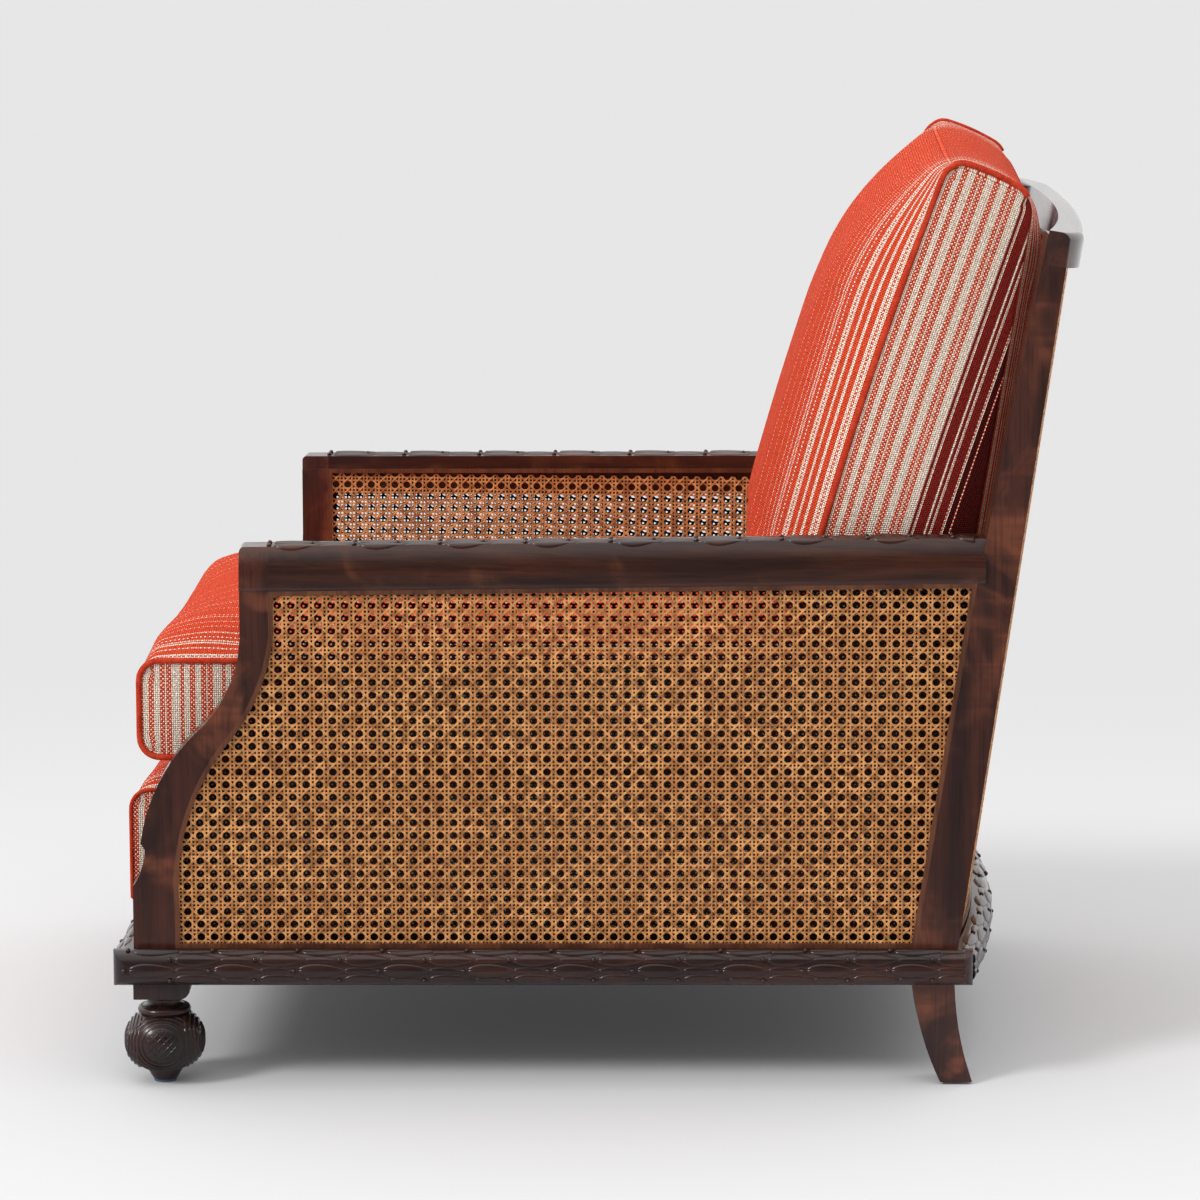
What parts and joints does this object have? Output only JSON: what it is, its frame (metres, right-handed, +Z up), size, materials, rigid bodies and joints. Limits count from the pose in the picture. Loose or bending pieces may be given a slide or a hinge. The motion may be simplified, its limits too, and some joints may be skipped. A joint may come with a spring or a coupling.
{
  "type": "planters chair",
  "caption": "Deep planters lounge chair with a dark carved hardwood frame, double-caned sides and bowed back, ball front feet, sabre rear legs and loose striped cushions.",
  "frame": {"origin": "On the floor, under the middle of the chair's overall box.", "axes": "+Z is up, the chair faces -Y, and +X is the sitter's left, across which the chair is symmetric."},
  "size_m": [0.7864, 1.0273, 0.971],
  "materials": {
    "frame_wood": "dark mahogany stain under polished lacquer",
    "bead_wood": "reddish brown lacquered bead",
    "raw_wood": "plain unfinished hardwood",
    "cane": "golden brown satin rattan cane",
    "cushion_fabric": "coarse slubby weave, red ground with cream stripes",
    "deck_fabric": "coarse slubby weave, red with cream stripes",
    "lining_fabric": "thin black lining cloth",
    "glide_plastic": "grey nylon glide"
  },
  "bodies": {
    "frame": {"back_inner_bead": "bead_wood", "back_inner_cane": "cane", "back_outer_bead": "bead_wood", "back_outer_cane": "cane", "crest_rail": "frame_wood", "dust_cover": "lining_fabric", "front_base_moulding": "frame_wood", "front_seat_rail": "frame_wood", "left_arm_rail": "frame_wood", "left_base_moulding": "frame_wood", "left_front_corner_block": "raw_wood", "left_front_foot": "frame_wood", "left_front_glide": "glide_plastic", "left_front_post": "frame_wood", "left_inner_bead": "bead_wood", "left_inner_cane": "cane", "left_outer_bead": "bead_wood", "left_outer_cane": "cane", "left_rear_corner_block": "raw_wood", "left_rear_glide": "glide_plastic", "left_rear_post": "frame_wood", "left_seat_rail": "frame_wood", "rear_base_moulding": "frame_wood", "rear_seat_rail": "frame_wood", "right_arm_rail": "frame_wood", "right_base_moulding": "frame_wood", "right_front_corner_block": "raw_wood", "right_front_foot": "frame_wood", "right_front_glide": "glide_plastic", "right_front_post": "frame_wood", "right_inner_bead": "bead_wood", "right_inner_cane": "cane", "right_outer_bead": "bead_wood", "right_outer_cane": "cane", "right_rear_corner_block": "raw_wood", "right_rear_glide": "glide_plastic", "right_rear_post": "frame_wood", "right_seat_rail": "frame_wood", "seat_deck": "deck_fabric"},
    "seat_cushion": {"seat_cushion": "cushion_fabric"},
    "back_cushion": {"back_cushion": "cushion_fabric"}
  },
  "joints": [
    {"name": "seat_lift", "type": "slide", "parent": "frame", "child": "seat_cushion", "axis": [0, 0, 1], "range_m": [0, 0.25]},
    {"name": "back_lift", "type": "slide", "parent": "seat_cushion", "child": "back_cushion", "axis": [0, 0, 1], "range_m": [0, 0.3]}
  ]
}
